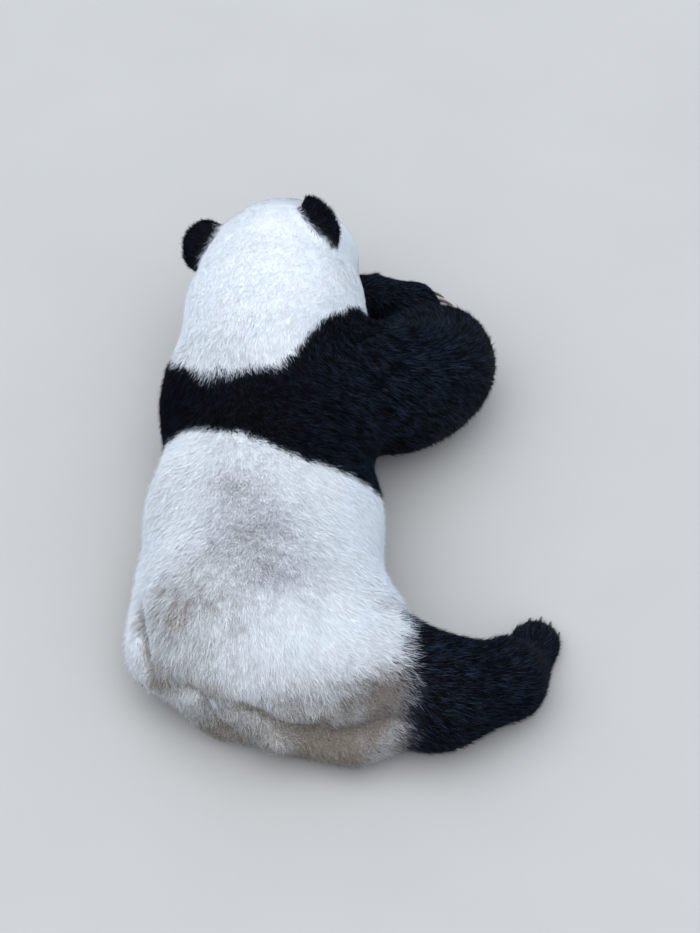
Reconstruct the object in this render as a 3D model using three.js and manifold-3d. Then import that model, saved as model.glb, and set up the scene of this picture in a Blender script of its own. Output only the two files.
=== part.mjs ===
// A giant panda asleep on its belly: a still, life-size model in millimetres, +Z up.
// It heads along +Y, so +X is its right side. It has rolled a little onto its left, its chin rests on its
// left forearm, and its right hind leg is stretched out to the side.
//
// Each body form is a field: a function of a point that is negative inside the flesh. Lobes are blended into
// fields, a field is turned into a closed mesh, and the mesh is parted into the animal's named parts by thin
// flat cuts.
import * as THREE from "three";
import { SimplifyModifier } from "three/addons/modifiers/SimplifyModifier.js";
import { mergeVertices } from "three/addons/utils/BufferGeometryUtils.js";
import Module from "manifold-3d";

const wasm = await Module();
wasm.setup();

// ---- Driving dimensions ----
const GAP = 0.6; // clearance between neighbouring parts
const BODY_NET = { cell: 22, triangles: 2400 };
const HEAD_NET = { cell: 10, triangles: 1950 };
const LIMB_NET = { cell: 16, triangles: 440 };
const PAW_NET = { cell: 7, triangles: 450 };
const EAR_NET = { cell: 7, triangles: 220 };
const TAIL_NET = { cell: 9, triangles: 120 };
const NOSE_NET = { cell: 4, triangles: 140 };
const EYE_RADIUS = 11.5;
const CLAW = { length: 56, radius: 8, sides: 6, rings: 2, sunk: 14, drop: 14 };
const TOES = 5;
const WORLD_REACH = 1500; // longer than the animal in every direction

const at = (x, y, z) => new THREE.Vector3(x, y, z);
const degrees = THREE.MathUtils.degToRad;

// ---- Fields ----

// An ellipsoid with the given half-sizes, turned by a quaternion.
function oval(centre, halfSizes, turn = new THREE.Quaternion()) {
  const back = turn.clone().invert();
  const local = new THREE.Vector3();
  const scaled = new THREE.Vector3();
  return (p) => {
    local.copy(p).sub(centre).applyQuaternion(back);
    scaled.copy(local).divide(halfSizes);
    const reach = scaled.length();
    const slope = scaled.divide(halfSizes).length();
    return slope < 1e-9 ? -Math.min(...halfSizes.toArray()) : (reach * (reach - 1)) / slope;
  };
}

// A round bar that tapers from one radius to the other.
function limb(start, end, startRadius, endRadius) {
  const axis = end.clone().sub(start);
  const offset = new THREE.Vector3();
  return (p) => {
    offset.copy(p).sub(start);
    const t = THREE.MathUtils.clamp(offset.dot(axis) / axis.lengthSq(), 0, 1);
    return offset.addScaledVector(axis, -t).length() - THREE.MathUtils.lerp(startRadius, endRadius, t);
  };
}

// Fields joined with a fillet of about the given width.
function blend(width, ...fields) {
  return (p) =>
    fields.reduce((nearest, field) => {
      const other = field(p);
      const mix = Math.max(width - Math.abs(nearest - other), 0) / width;
      return Math.min(nearest, other) - (mix * mix * width) / 4;
    }, Infinity);
}

// A field with another one hollowed out of it, over a rounded edge.
function hollow(width, field, tool) {
  return (p) => {
    const outside = field(p);
    const inside = -tool(p);
    const mix = Math.max(width - Math.abs(outside - inside), 0) / width;
    return Math.max(outside, inside) + (mix * mix * width) / 4;
  };
}

// A field made in its own frame and placed by a matrix without scale.
function placed(matrix, field) {
  const back = matrix.clone().invert();
  const local = new THREE.Vector3();
  return (p) => field(local.copy(p).applyMatrix4(back));
}

// A field that is the same on both sides of its own X = 0.
function mirrored(field) {
  const folded = new THREE.Vector3();
  return (p) => field(folded.set(Math.abs(p.x), p.y, p.z));
}

// ---- Meshes ----
const AXES = [
  [1, 0, 0],
  [0, 1, 0],
  [0, 0, 1],
];

function eachCube([nx, ny, nz], visit) {
  for (let k = 0; k < nz; k++)
    for (let j = 0; j < ny; j++)
      for (let i = 0; i < nx; i++) visit(i, j, k);
}

// The field's values at the corners of a grid of cubes. The outermost corners count as outside.
function gridOf(field, box, cell) {
  const size = box.getSize(at(0, 0, 0)).divideScalar(cell).ceil().addScalar(1).toArray();
  const indexOf = (i, j, k) => i + size[0] * (j + size[1] * k);
  const cornerAt = (i, j, k) => at(i, j, k).multiplyScalar(cell).add(box.min);
  const values = new Float64Array(size[0] * size[1] * size[2]);
  eachCube(size, (i, j, k) => {
    const outermost = [i, j, k].some((n, axis) => n === 0 || n === size[axis] - 1);
    values[indexOf(i, j, k)] = outermost ? cell : field(cornerAt(i, j, k));
  });
  const valueAt = (...corner) => values[indexOf(...corner)];
  return { indexOf, cornerAt, valueAt, cubes: size.map((n) => n - 1) };
}

// The points where the surface crosses the twelve edges of a cube.
function crossingsOf({ valueAt, cornerAt }, cube) {
  const crossings = [];
  AXES.forEach((along, axis) => {
    const [u, v] = AXES.filter((_, other) => other !== axis);
    for (const s of [0, 1])
      for (const t of [0, 1]) {
        const start = cube.map((n, d) => n + s * u[d] + t * v[d]);
        const end = start.map((n, d) => n + along[d]);
        const from = valueAt(...start);
        const to = valueAt(...end);
        if (from < 0 === to < 0) continue;
        crossings.push(cornerAt(...start).lerp(cornerAt(...end), from / (from - to)));
      }
  });
  return crossings;
}

// Closed mesh of the space where field < 0: one vertex in each crossed cube, moved onto the surface, and a
// quad round each crossed edge. Where the form is plain, small triangles are then merged until about the
// wanted number is left.
async function surfaceOf(field, box, { cell, triangles: wanted }) {
  const grid = gridOf(field, box, cell);
  const points = [];
  const vertexOf = new Map();
  eachCube(grid.cubes, (...cube) => {
    const crossings = crossingsOf(grid, cube);
    if (!crossings.length) return;
    const sum = crossings.reduce((total, point) => total.add(point), at(0, 0, 0));
    vertexOf.set(grid.indexOf(...cube), points.length);
    points.push(ontoSurface(field, sum.divideScalar(crossings.length), cell / 3));
  });
  const triangles = [];
  eachCube(grid.cubes, (...corner) => {
    const inside = grid.valueAt(...corner) < 0;
    AXES.forEach((along, axis) => {
      if (inside === grid.valueAt(...corner.map((n, d) => n + along[d])) < 0) return;
      const [u, v] = [AXES[(axis + 1) % 3], AXES[(axis + 2) % 3]];
      const cubeBack = (s, t) => vertexOf.get(grid.indexOf(...corner.map((n, d) => n - s * u[d] - t * v[d])));
      const ring = [cubeBack(1, 1), cubeBack(0, 1), cubeBack(0, 0), cubeBack(1, 0)];
      triangles.push(...splitQuad(points, inside ? ring : ring.reverse()));
    });
  });
  const fine = new THREE.BufferGeometry().setFromPoints(points).setIndex(triangles);
  const surplus = Math.floor(points.length * (1 - wanted / (triangles.length / 3)));
  return surplus > 0 ? new SimplifyModifier().modify(fine, surplus) : fine;
}

// Two triangles from a quad, split along its shorter diagonal.
function splitQuad(points, [a, b, c, d]) {
  const alongAC = points[a].distanceTo(points[c]) <= points[b].distanceTo(points[d]);
  return alongAC ? [a, b, c, a, c, d] : [a, b, d, b, c, d];
}

// The point moved down the field's slope onto its surface, by no more than a set distance.
function ontoSurface(field, start, furthest) {
  const p = start.clone();
  for (let round = 0; round < 3; round++) {
    const slope = slopeOf(field, p);
    p.addScaledVector(slope, -field(p) / Math.max(slope.lengthSq(), 0.1));
  }
  return p.sub(start).clampLength(0, furthest).add(start);
}

function slopeOf(field, p) {
  const difference = (along) => {
    const step = at(...along);
    return (field(p.clone().add(step)) - field(p.clone().sub(step))) / 2;
  };
  return at(...AXES.map(difference));
}

// The same mesh with each vertex moved outwards by the gap, to cut a seat with clearance.
function grown(geometry) {
  const wider = geometry.clone();
  wider.computeVertexNormals();
  const { position, normal } = wider.attributes;
  for (let n = 0; n < position.count; n++)
    position.setXYZ(
      n,
      position.getX(n) + GAP * normal.getX(n),
      position.getY(n) + GAP * normal.getY(n),
      position.getZ(n) + GAP * normal.getZ(n),
    );
  wider.deleteAttribute("normal");
  return wider;
}

// ---- Solids: joins and cuts ----
function solidOf(geometry) {
  const bare = geometry.clone();
  for (const name of ["normal", "uv"]) bare.deleteAttribute(name);
  const merged = mergeVertices(bare, 1e-3);
  return new wasm.Manifold(
    new wasm.Mesh({
      numProp: 3,
      vertProperties: merged.attributes.position.array,
      triVerts: new Uint32Array(merged.index.array),
    }),
  );
}

function geometryOf(solid) {
  const { vertProperties, triVerts } = solid.getMesh();
  return new THREE.BufferGeometry()
    .setAttribute("position", new THREE.BufferAttribute(vertProperties, 3))
    .setIndex(new THREE.BufferAttribute(triVerts, 1));
}

// The box between two corners of a frame, as geometry in the world.
function boxIn(matrix, low, high) {
  const size = high.clone().sub(low);
  const middle = high.clone().add(low).multiplyScalar(0.5);
  return new THREE.BoxGeometry(...size.toArray())
    .translate(...middle.toArray())
    .applyMatrix4(matrix);
}

const aboveFloor = solidOf(
  boxIn(new THREE.Matrix4(), at(-WORLD_REACH, -WORLD_REACH, 0), at(WORLD_REACH, WORLD_REACH, WORLD_REACH)),
);

// The frame at a point, turned by roll about its own nose line, then pitch, then yaw to the left.
function frameAt(origin, { yaw = 0, pitch = 0, roll = 0 }) {
  const turn = new THREE.Euler(degrees(pitch), degrees(roll), degrees(yaw), "ZXY");
  return new THREE.Matrix4().makeRotationFromEuler(turn).setPosition(origin);
}

// ---- Head, in its own frame: nose along +Y, origin between the ears and the cheeks ----
const headFrame = frameAt(at(-136, 345, 244), { yaw: -7, pitch: -10, roll: -22 });
const eyeSeat = (side) => at(47 * side, 115, 6);
const noseSeat = at(0, 185, -28);
const earRoot = (side) => (side < 0 ? at(-93, -29, 65) : at(100, -29, 68));
const EAR_STANDOFF = 40; // from the root to the middle of the disc
// The left ear stands up, and the right one is laid back towards the nape.
const earRise = (side) => (side < 0 ? at(-0.78, -0.12, 0.58) : at(0.64, -0.5, 0.59)).normalize();
const earMiddle = (side) => earRoot(side).addScaledVector(earRise(side), EAR_STANDOFF);

const cranium = oval(at(0, -12, 10), at(105, 120, 98));
const cheek = oval(at(67, 24, -34), at(76, 88, 78));
const brow = oval(at(0, 60, 26), at(76, 68, 60));
const muzzle = limb(at(11, 84, -24), at(12, 147, -44), 60, 43);
const upperLip = oval(at(24, 158, -58), at(33, 33, 27));
const chin = oval(at(8, 128, -86), at(36, 50, 22));
const eyeHollow = oval(at(52, 134, 6), at(17, 15, 12));
const face = blend(34, blend(60, cranium, cheek), brow, muzzle, upperLip, chin);
const headShape = placed(headFrame, mirrored(hollow(12, face, eyeHollow)));

const nosePad = oval(noseSeat, at(27, 15, 14));
const noseBase = oval(noseSeat.clone().add(at(0, -2, -13)), at(12, 12, 13));
const noseShape = placed(headFrame, blend(9, nosePad, noseBase));

// An ear is a thick cupped disc: across runs along its root, and rise from the root to the rim.
function earShape(side) {
  const across = at(0.45 * side, -0.5, -0.74).normalize();
  const rise = earRise(side);
  const facing = at(0, 0, 0).crossVectors(across, rise).multiplyScalar(-side).normalize();
  const turn = new THREE.Quaternion().setFromRotationMatrix(
    new THREE.Matrix4().makeBasis(at(0, 0, 0).crossVectors(facing, rise), facing, rise),
  );
  const disc = oval(earMiddle(side), at(60, 26, 53), turn);
  const cup = oval(earMiddle(side).addScaledVector(facing, 28), at(45, 20, 40), turn);
  return placed(headFrame, hollow(10, disc, cup));
}

// ---- Paws, in their own frame: toes along +Y, sole at Z = 0, origin under the wrist or heel ----
function pawOf({ length, width, height }) {
  const toeRadius = width / 8.2;
  const toes = Array.from({ length: TOES }, (_, n) => {
    const side = (2 * n) / (TOES - 1) - 1;
    return at((side * (width - 2 * toeRadius)) / 2, length * (1 - 0.16 * side * side) - toeRadius, toeRadius);
  });
  const palm = blend(
    0.4 * height,
    oval(at(0, 0.28 * length, 0.42 * height), at(0.42 * width, 0.42 * length, 0.62 * height)),
    oval(at(0, 0.66 * length, 0.38 * height), at(0.5 * width, 0.27 * length, 0.46 * height)),
  );
  const knuckles = toes.map((tip) =>
    limb(at(tip.x * 0.8, tip.y - 0.28 * length, 0.36 * height), tip, toeRadius * 1.35, toeRadius),
  );
  return { field: blend(0.12 * height, palm, ...knuckles), toes };
}

const forePaw = pawOf({ length: 160, width: 122, height: 80 });
const hindPaw = pawOf({ length: 190, width: 102, height: 80 });
const paws = {
  forepaw_left: { frame: frameAt(at(35, 432, 0), { yaw: -92 }), ...forePaw },
  forepaw_right: { frame: frameAt(at(35, 268, 0), { yaw: 76 }), ...forePaw },
  hindpaw_left: { frame: frameAt(at(-333, -450, 0), { yaw: 6 }), ...hindPaw },
  hindpaw_right: { frame: frameAt(at(322, -600, 0), { yaw: -13 }), ...hindPaw },
};
const pawShape = (name) => placed(paws[name].frame, paws[name].field);

// ---- Trunk, neck and the limbs that run out of them in one curve ----
const chest = oval(at(-152, -10, 164), at(212, 235, 172));
const loin = oval(at(-163, -290, 158), at(236, 270, 178));
const rump = oval(at(-160, -530, 156), at(243, 235, 190));
const shoulderRight = oval(at(-20, 25, 195), at(120, 130, 118));
const shoulderLeft = oval(at(-250, 15, 175), at(112, 150, 128));
const hipRight = oval(at(0, -600, 135), at(130, 140, 125));
const thighLeft = limb(at(-334, -566, 112), at(-342, -385, 92), 92, 70);
const rearRoll = limb(at(-235, -655, 72), at(10, -715, 76), 74, 82);
const trunkShape = blend(70, chest, loin, rump, shoulderRight, shoulderLeft, hipRight);
const trunkAndThigh = blend(26, blend(40, trunkShape, thighLeft), rearRoll);

const nape = limb(at(-150, 100, 225), at(-143, 290, 250), 172, 148);
const ruff = oval(at(-150, 205, 245), at(180, 120, 132));
const neckShape = blend(60, nape, ruff);

const thighRight = limb(at(0, -620, 140), at(160, -664, 106), 125, 106);
const shankRight = limb(at(160, -664, 106), at(290, -618, 82), 106, 80);
const hindRight = blend(60, blend(40, thighRight, shankRight), pawShape("hindpaw_right"));

const core = blend(50, trunkAndThigh, neckShape, headShape, hindRight);

// ---- Limbs folded against the body ----
const upperArmLeft = limb(at(-268, 60, 185), at(-236, 318, 92), 104, 80);
const forearmLeft = limb(at(-236, 322, 88), at(30, 408, 66), 78, 58);
const foreLeft = blend(45, upperArmLeft, forearmLeft, pawShape("forepaw_left"));

const upperArmRight = limb(at(-10, 25, 190), at(130, 115, 140), 132, 120);
const armBackRight = oval(at(100, 55, 140), at(120, 112, 114));
const elbowRight = oval(at(168, 168, 116), at(130, 148, 114));
const forearmRight = limb(at(190, 215, 85), at(50, 262, 66), 85, 60);
const foreRight = blend(
  50,
  upperArmRight,
  armBackRight,
  elbowRight,
  forearmRight,
  pawShape("forepaw_right"),
);

const ankleLeft = limb(at(-335, -470, 70), at(-335, -400, 60), 60, 50);
const hindLeft = blend(30, ankleLeft, pawShape("hindpaw_left"));

// A short flat tail that hangs over the rump.
const tailTilt = new THREE.Quaternion().setFromEuler(new THREE.Euler(degrees(14), 0, degrees(4)));
const tailRoot = oval(at(-125, -752, 112), at(50, 26, 62), tailTilt);
const tailTip = oval(at(-125, -762, 82), at(42, 20, 46), tailTilt);
const tailShape = blend(20, tailRoot, tailTip);

// ---- Cutters: the space beyond a flat plane, from a frame whose +Y points away from the trunk ----
const beyond = (frame, reachX = WORLD_REACH, top = WORLD_REACH) => (gap) =>
  solidOf(boxIn(frame, at(-reachX - gap, -gap, -WORLD_REACH), at(reachX + gap, WORLD_REACH, top + gap)));
const shifted = (frame, y) => frame.clone().multiply(new THREE.Matrix4().makeTranslation(0, y, 0));

const headCut = beyond(shifted(headFrame, -92), 185);
const neckCut = beyond(frameAt(at(-150, 150, 0), { yaw: 3, pitch: 12 }));
const legCut = beyond(frameAt(at(92, -622, 100), { yaw: -98 }), 260);
const thighCut = beyond(frameAt(at(-292, -500, 0), { yaw: 88 }), 185, 185);
const wristCut = (name, along = 12) => beyond(shifted(paws[name].frame, along), 110);

// ---- Building the solids ----
const solids = new Map();

// The biggest of a solid's separate pieces.
function largest(solid) {
  return solid.decompose().reduce((best, piece) => (piece.volume() > best.volume() ? piece : best));
}

async function netOf(field, low, high, fineness) {
  const mesh = await surfaceOf(field, new THREE.Box3(low, high), fineness);
  return { solid: solidOf(mesh), seat: solidOf(grown(mesh)) };
}
const netRound = (field, middle, reach, fineness) =>
  netOf(field, middle.clone().subScalar(reach), middle.clone().addScalar(reach), fineness);
const pawNet = (name, field) => netRound(field, at(0, 100, 40).applyMatrix4(paws[name].frame), 135, PAW_NET);

const bodyNet = await netOf(core, at(-520, -900, -60), at(470, 640, 480), BODY_NET);
const headNet = await netOf(core, at(-370, 180, -10), at(90, 620, 470), HEAD_NET);
const footNet = await pawNet("hindpaw_right", core);

let body = bodyNet.solid;
function partOff(name, cut) {
  solids.set(name, largest(body.intersect(cut(0))));
  body = body.subtract(cut(GAP));
}
const footCut = wristCut("hindpaw_right", 34);
body = body.subtract(footCut(GAP).intersect(legCut(0)));
solids.set("hindpaw_right", largest(footNet.solid.intersect(footCut(0))));
partOff("hindleg_right", legCut);
partOff("hindleg_left", thighCut);
const front = body.intersect(neckCut(0));
solids.set("neck", largest(front.subtract(headCut(GAP))));
solids.set("trunk", largest(body.subtract(neckCut(GAP))));
let head = largest(headNet.solid.intersect(headCut(0)));

// A folded limb, its paw and the tail are seated round everything that is already in place.
const seats = [bodyNet.seat.subtract(headCut(0)), headNet.seat.intersect(headCut(GAP))];
const seated = (solid) =>
  largest(seats.reduce((rest, seat) => rest.subtract(seat), solid.intersect(aboveFloor)));
async function addPaw(name, field) {
  const net = await pawNet(name, field);
  const cut = wristCut(name);
  solids.set(name, seated(net.solid.intersect(cut(0))));
  return net.seat.intersect(cut(GAP));
}
async function addForeleg(leg, paw, field, low, high) {
  const net = await netOf(field, low, high, LIMB_NET);
  const cut = wristCut(paw);
  solids.set(leg, seated(net.solid.subtract(cut(GAP))));
  seats.push(await addPaw(paw, field), net.seat.subtract(cut(0)));
}
await addForeleg("foreleg_left", "forepaw_left", foreLeft, at(-400, -80, -40), at(260, 540, 300));
await addForeleg("foreleg_right", "forepaw_right", foreRight, at(-190, -140, -40), at(330, 400, 350));
await addPaw("hindpaw_left", hindLeft);
const tailNet = await netRound(tailShape, at(-118, -765, 100), 110, TAIL_NET);
solids.set("tail", seated(tailNet.solid));

// Features of the head, each seated in it.
function seatInHead(name, geometry) {
  solids.set(name, solidOf(geometry));
  head = head.subtract(solidOf(grown(geometry)));
}
for (const [side, word] of [
  [-1, "left"],
  [1, "right"],
]) {
  const ball = new THREE.IcosahedronGeometry(EYE_RADIUS, 1).deleteAttribute("normal").deleteAttribute("uv");
  ball.translate(...eyeSeat(side).toArray()).applyMatrix4(headFrame);
  seatInHead("eye_" + word, mergeVertices(ball));
  const ear = await netRound(earShape(side), earMiddle(side).applyMatrix4(headFrame), 95, EAR_NET);
  solids.set("ear_" + word, largest(ear.solid.subtract(headNet.seat)));
}
const noseAt = noseSeat.clone().applyMatrix4(headFrame);
const noseBox = new THREE.Box3(noseAt.clone().subScalar(40), noseAt.clone().addScalar(40));
seatInHead("nose", await surfaceOf(noseShape, noseBox, NOSE_NET));
solids.set("head", head);

// A claw is a thin cone that grows out of a toe's tip and bends down to the floor.
function clawOn(toe) {
  const cone = new THREE.ConeGeometry(CLAW.radius, CLAW.length, CLAW.sides, CLAW.rings);
  cone.translate(0, CLAW.length / 2 - CLAW.sunk, 0);
  const { position } = cone.attributes;
  for (let n = 0; n < position.count; n++) {
    const along = Math.max(position.getY(n), 0) / (CLAW.length - CLAW.sunk);
    position.setZ(n, position.getZ(n) - CLAW.drop * along * along);
  }
  return cone.translate(toe.x * 1.04, toe.y, toe.z + 3);
}
for (const [pawName, { frame, toes }] of Object.entries(paws)) {
  const pawSeat = solidOf(grown(geometryOf(solids.get(pawName))));
  toes.forEach((toe, n) => {
    const claw = solidOf(clawOn(toe).applyMatrix4(frame));
    solids.set(`claw_${pawName}_${n + 1}`, seated(claw.subtract(pawSeat)));
  });
}

// ---- The model ----
const finishes = {
  white: new THREE.MeshStandardMaterial({ color: 0xe4e2dc, roughness: 0.9, metalness: 0 }),
  black: new THREE.MeshStandardMaterial({ color: 0x14161b, roughness: 0.85, metalness: 0 }),
  claw: new THREE.MeshStandardMaterial({ color: 0xb9ad97, roughness: 0.4, metalness: 0 }),
  wet: new THREE.MeshStandardMaterial({ color: 0x0c0a09, roughness: 0.15, metalness: 0 }),
};
function finishOf(name) {
  if (name.startsWith("claw")) return finishes.claw;
  if (/eye|nose/.test(name)) return finishes.wet;
  return /leg|paw|ear/.test(name) ? finishes.black : finishes.white;
}
const panda = new THREE.Group();
for (const [name, solid] of solids) {
  const mesh = new THREE.Mesh(geometryOf(solid.intersect(aboveFloor)), finishOf(name));
  mesh.name = name;
  panda.add(mesh);
}
const middle = new THREE.Box3().setFromObject(panda).getCenter(at(0, 0, 0));
for (const mesh of panda.children) mesh.position.set(-middle.x, -middle.y, 0);
export default panda;
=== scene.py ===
"""A giant panda resting on its belly: the looks of the life-size model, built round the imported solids.

One skin is grown over the solids of flesh and sunk by the depth of the coat. A coat of small closed tufts
lies on it. Skin and coat take their markings from the same values, which are stored on the skin.
Lengths are in metres, in the frame of the solids: the animal heads along +Y and its right side is +X.
"""
import itertools
import math

import bmesh
import bpy
import numpy as np
from mathutils import Matrix, Vector
from mathutils.bvhtree import BVHTree


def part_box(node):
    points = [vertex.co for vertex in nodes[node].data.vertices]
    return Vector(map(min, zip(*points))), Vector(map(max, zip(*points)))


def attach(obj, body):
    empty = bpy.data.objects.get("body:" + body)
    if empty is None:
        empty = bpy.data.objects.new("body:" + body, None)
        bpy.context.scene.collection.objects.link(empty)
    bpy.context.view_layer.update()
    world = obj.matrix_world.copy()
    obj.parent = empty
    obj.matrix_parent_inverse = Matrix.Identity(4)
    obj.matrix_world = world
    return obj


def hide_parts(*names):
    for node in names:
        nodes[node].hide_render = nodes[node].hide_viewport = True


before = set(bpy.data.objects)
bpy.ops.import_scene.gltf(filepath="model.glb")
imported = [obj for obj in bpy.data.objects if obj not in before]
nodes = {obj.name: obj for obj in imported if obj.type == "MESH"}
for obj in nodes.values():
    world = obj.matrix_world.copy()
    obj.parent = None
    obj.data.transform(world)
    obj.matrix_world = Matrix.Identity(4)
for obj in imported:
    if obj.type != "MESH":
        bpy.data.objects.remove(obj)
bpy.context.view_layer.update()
MM = 0.001

# ---- Sizes and places ----
FLESH = sorted(name for name in nodes if not name.startswith(("claw", "eye", "nose")))
VOXEL = 6 * MM
# For each part: rounds of smoothing, depth of the coat over the skin, length and width of its hair.
BUILD = {
    "trunk": (46, 10, 17, 1.9),
    "neck": (36, 7, 13, 1.5),
    "head": (14, 4, 11, 1.3),
    "ear": (5, 5, 20, 1.7),
    "foreleg": (26, 10, 22, 1.9),
    "forepaw": (6, 5, 13, 1.7),
    "hindleg": (26, 10, 21, 1.9),
    "hindpaw": (12, 8, 22, 1.9),
    "tail": (8, 9, 20, 2.0),
}


def middle(node):
    low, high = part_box(node)
    return np.array((low + high) / 2)


def place_in(node, shares):
    """A place in a node's box: shares of the way from left to right, from rear to front and upwards."""
    low, high = (np.array(corner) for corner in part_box(node))
    return low + (high - low) * shares


def turned(yaw, pitch, roll):
    """Rotation of a frame whose nose line is +Y: rolled about it, then pitched, then turned to the left."""
    return np.array(
        Matrix.Rotation(math.radians(yaw), 3, "Z")
        @ Matrix.Rotation(math.radians(pitch), 3, "X")
        @ Matrix.Rotation(math.radians(roll), 3, "Y")
    )


# The head's own frame: nose along +Y, up +Z, the animal's right +X.
HEAD_TURN = turned(yaw=-7, pitch=-10, roll=-22)
EYES_IN_HEAD = np.array((0, 115, 6)) * MM
EYE_X = 47 * MM
EYE_RADIUS = 11.5 * MM
head_origin = (middle("eye_left") + middle("eye_right")) / 2 - HEAD_TURN @ EYES_IN_HEAD


def to_head(points):
    return (points - head_origin) @ HEAD_TURN


def from_head(points):
    return points @ HEAD_TURN.T + head_origin


# ---- Small helpers ----
def smooth_step(low, high, values):
    t = np.clip((values - low) / (high - low), 0, 1)
    return t * t * (3 - 2 * t)


def unit(vectors):
    return vectors / np.maximum(np.linalg.norm(vectors, axis=-1, keepdims=True), 1e-9)


def noise(points, size, seed):
    """Smooth random values from about -1 to 1, in lumps of the given size."""
    lattice = np.random.default_rng(seed).uniform(-1, 1, (32, 32, 32))
    cell = np.floor(points / size).astype(int)
    part = points / size - cell
    part = part * part * (3 - 2 * part)
    total = np.zeros(len(points))
    for corner in itertools.product((0, 1), repeat=3):
        share = np.prod(np.where(corner, part, 1 - part), axis=1)
        total += share * lattice[tuple(((cell + corner) % 32).T)]
    return total


def nearness(points, place, reach):
    """1 at the place, fading out round it."""
    return np.exp(-np.sum((points - place) ** 2, axis=1) / reach**2)


def read(items, what, width=1):
    """A number that every item of a mesh has, or a row of them."""
    flat = np.empty(len(items) * width, np.float32)
    items.foreach_get(what, flat)
    return flat.reshape(-1, width).astype(float) if width > 1 else flat.astype(float)


def read_whole(items, what, width=1):
    """The same for whole numbers."""
    flat = np.empty(len(items) * width, np.int32)
    items.foreach_get(what, flat)
    return flat.reshape(-1, width) if width > 1 else flat


def points_of(mesh):
    return read(mesh.vertices, "co", 3)


def normals_of(mesh):
    return read(mesh.vertex_normals, "vector", 3)


def set_points(mesh, points):
    mesh.vertices.foreach_set("co", np.asarray(points, np.float32).ravel())
    mesh.update()


def tree_of(mesh):
    return BVHTree.FromPolygons(points_of(mesh).tolist(), [tuple(face.vertices) for face in mesh.polygons])


def stored(mesh, name):
    return read(mesh.attributes[name].data, "value")


def store(mesh, name, values):
    layer = mesh.attributes.get(name) or mesh.attributes.new(name, "FLOAT", "POINT")
    layer.data.foreach_set("value", np.asarray(values, np.float32))


def mesh_from(bm, name):
    mesh = bpy.data.meshes.new(name)
    bm.to_mesh(mesh)
    bm.free()
    return mesh


def add_object(name, data):
    made = bpy.data.objects.new(name, data)
    bpy.context.scene.collection.objects.link(made)
    return made


def add_piece(name, mesh, material, slot, *replaced):
    """A finished mesh as a piece of the model, in the place of the CAD nodes that it replaces."""
    mesh.materials.append(material)
    piece = add_object(name, mesh)
    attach(piece, "root")
    if replaced:
        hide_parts(*replaced)


def distance_to_line(points, line):
    """Distance to a run of straight pieces, and how far along it the nearest place is, from 0 to 1."""
    best = np.full(len(points), np.inf)
    along = np.zeros(len(points))
    count = len(line) - 1
    for n, (start, end) in enumerate(zip(line[:-1], line[1:])):
        way = end - start
        t = np.clip((points - start) @ way / (way @ way), 0, 1)
        gap = np.linalg.norm(points - start - t[:, None] * way, axis=1)
        nearer = gap < best
        best = np.where(nearer, gap, best)
        along = np.where(nearer, (n + t) / count, along)
    return best, along


def furrow(gap, depth, half):
    """Depth of a soft furrow at a distance from its line."""
    return depth * np.exp(-((gap / half) ** 2))


# ---- Skin ----
def outer_skin():
    """One closed mesh round all solids of flesh."""
    bm = bmesh.new()
    for name in FLESH:
        bm.from_mesh(nodes[name].data)
    block = add_object("flesh", mesh_from(bm, "flesh"))
    grid = block.modifiers.new("grid", "REMESH")
    grid.mode = "VOXEL"
    grid.voxel_size = VOXEL
    evaluated = block.evaluated_get(bpy.context.evaluated_depsgraph_get())
    net = bmesh.new()
    net.from_mesh(evaluated.to_mesh())
    bpy.data.objects.remove(block)
    # Pockets left between the solids are not part of the skin: it is what is joined to the topmost point.
    edge = [max(net.verts, key=lambda v: v.co.z)]
    kept = set(edge)
    while edge:
        vertex = edge.pop()
        for link in vertex.link_edges:
            other = link.other_vert(vertex)
            if other not in kept:
                kept.add(other)
                edge.append(other)
    bmesh.ops.delete(net, geom=[v for v in net.verts if v not in kept], context="VERTS")
    return mesh_from(net, "skin")


def node_of_points(points):
    """The CAD part that each point is nearest to, as an index in FLESH."""
    corners, triangles, owners = [], [], []
    start = 0
    for index, name in enumerate(FLESH):
        mesh = nodes[name].data
        mesh.calc_loop_triangles()
        corners.append(points_of(mesh))
        triangles.append(read_whole(mesh.loop_triangles, "vertices", 3) + start)
        owners += [index] * len(triangles[-1])
        start += len(corners[-1])
    tree = BVHTree.FromPolygons(np.concatenate(corners).tolist(), np.concatenate(triangles).tolist())
    return np.array([owners[tree.find_nearest(p)[2]] for p in points])


class Net:
    """The edges of a mesh, to average values between neighbours."""

    def __init__(self, mesh):
        a, b = read_whole(mesh.edges, "vertices", 2).T
        self.here, self.there = np.concatenate((a, b)), np.concatenate((b, a))
        self.size = len(mesh.vertices)
        self.degree = np.maximum(np.bincount(self.here, minlength=self.size), 1)

    def around(self, values):
        if values.ndim == 1:
            return np.bincount(self.here, values[self.there], self.size) / self.degree
        return np.stack([self.around(column) for column in values.T], axis=1)

    def smoothed(self, values, rounds, share=0.5):
        """rounds is one number, or one for each point."""
        for done in range(int(np.max(rounds))):
            step = share * (np.asarray(rounds) > done)
            step = step[:, None] if values.ndim == 2 and step.ndim else step
            values = values + step * (self.around(values) - values)
        return values


def by_part(owners, column):
    """One of BUILD's columns for each point."""
    kinds = [next(kind for kind in BUILD if name.startswith(kind)) for name in FLESH]
    return np.array([BUILD[kind][column] for kind in kinds], float)[owners]


def is_part(owners, *kinds):
    """1 for each point that lies on one of these kinds of part, else 0."""
    return np.array([name.startswith(kinds) for name in FLESH], float)[owners]


def face_shares(points, owners):
    """How far each point is towards the face, and towards the end of the muzzle."""
    ahead = to_head(points)[:, 1]
    on_head = is_part(owners, "head")
    return smooth_step(-40 * MM, 115 * MM, ahead) * on_head, smooth_step(110 * MM, 165 * MM, ahead) * on_head


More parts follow.
